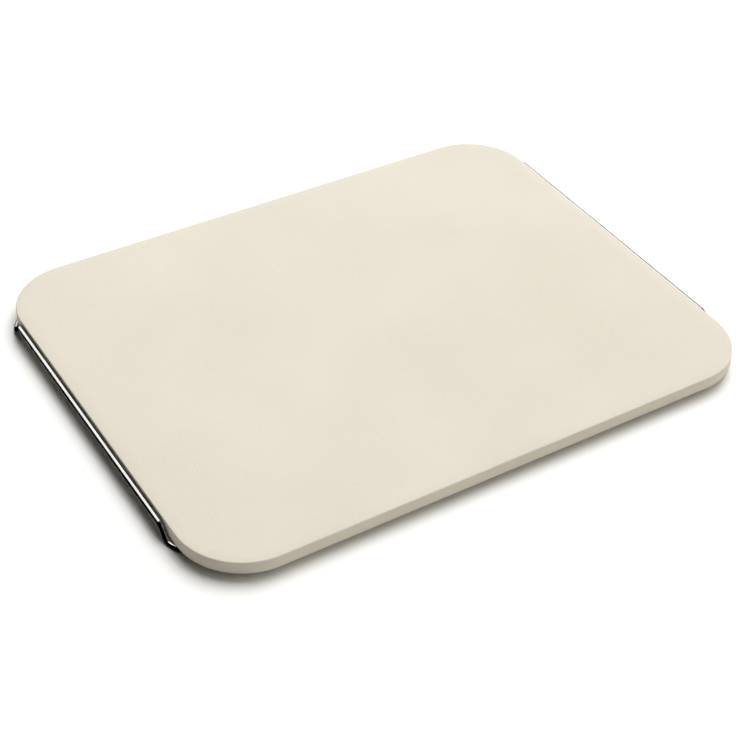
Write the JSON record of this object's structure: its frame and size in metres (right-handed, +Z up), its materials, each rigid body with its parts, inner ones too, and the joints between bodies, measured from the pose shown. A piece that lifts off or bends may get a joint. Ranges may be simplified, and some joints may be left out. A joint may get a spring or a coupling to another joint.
{
  "type": "pizza stone",
  "caption": "Rectangular baking stone with round corners, lying loose on a low welded wire rack whose raised ends hold its short sides.",
  "frame": {"origin": "on the surface that the rack stands on, under the middle of the stone", "axes": "+X along the stone's long side, +Y from its front to its back, +Z up"},
  "size_m": [0.3866, 0.3, 0.0121],
  "materials": {
    "cordierite": "matte",
    "chromed_wire": "polished"
  },
  "bodies": {
    "rack": {"left_end_bow": "chromed_wire", "right_end_bow": "chromed_wire", "front_rail": "chromed_wire", "rear_rail": "chromed_wire", "cross_wire_left": "chromed_wire", "cross_wire_middle": "chromed_wire", "cross_wire_right": "chromed_wire"},
    "stone": {"stone": "cordierite"}
  },
  "joints": [
    {"name": "stone_lifts_off", "type": "slide", "parent": "rack", "child": "stone", "axis": [0, 0, 1], "range_m": [0, 0.06]}
  ]
}
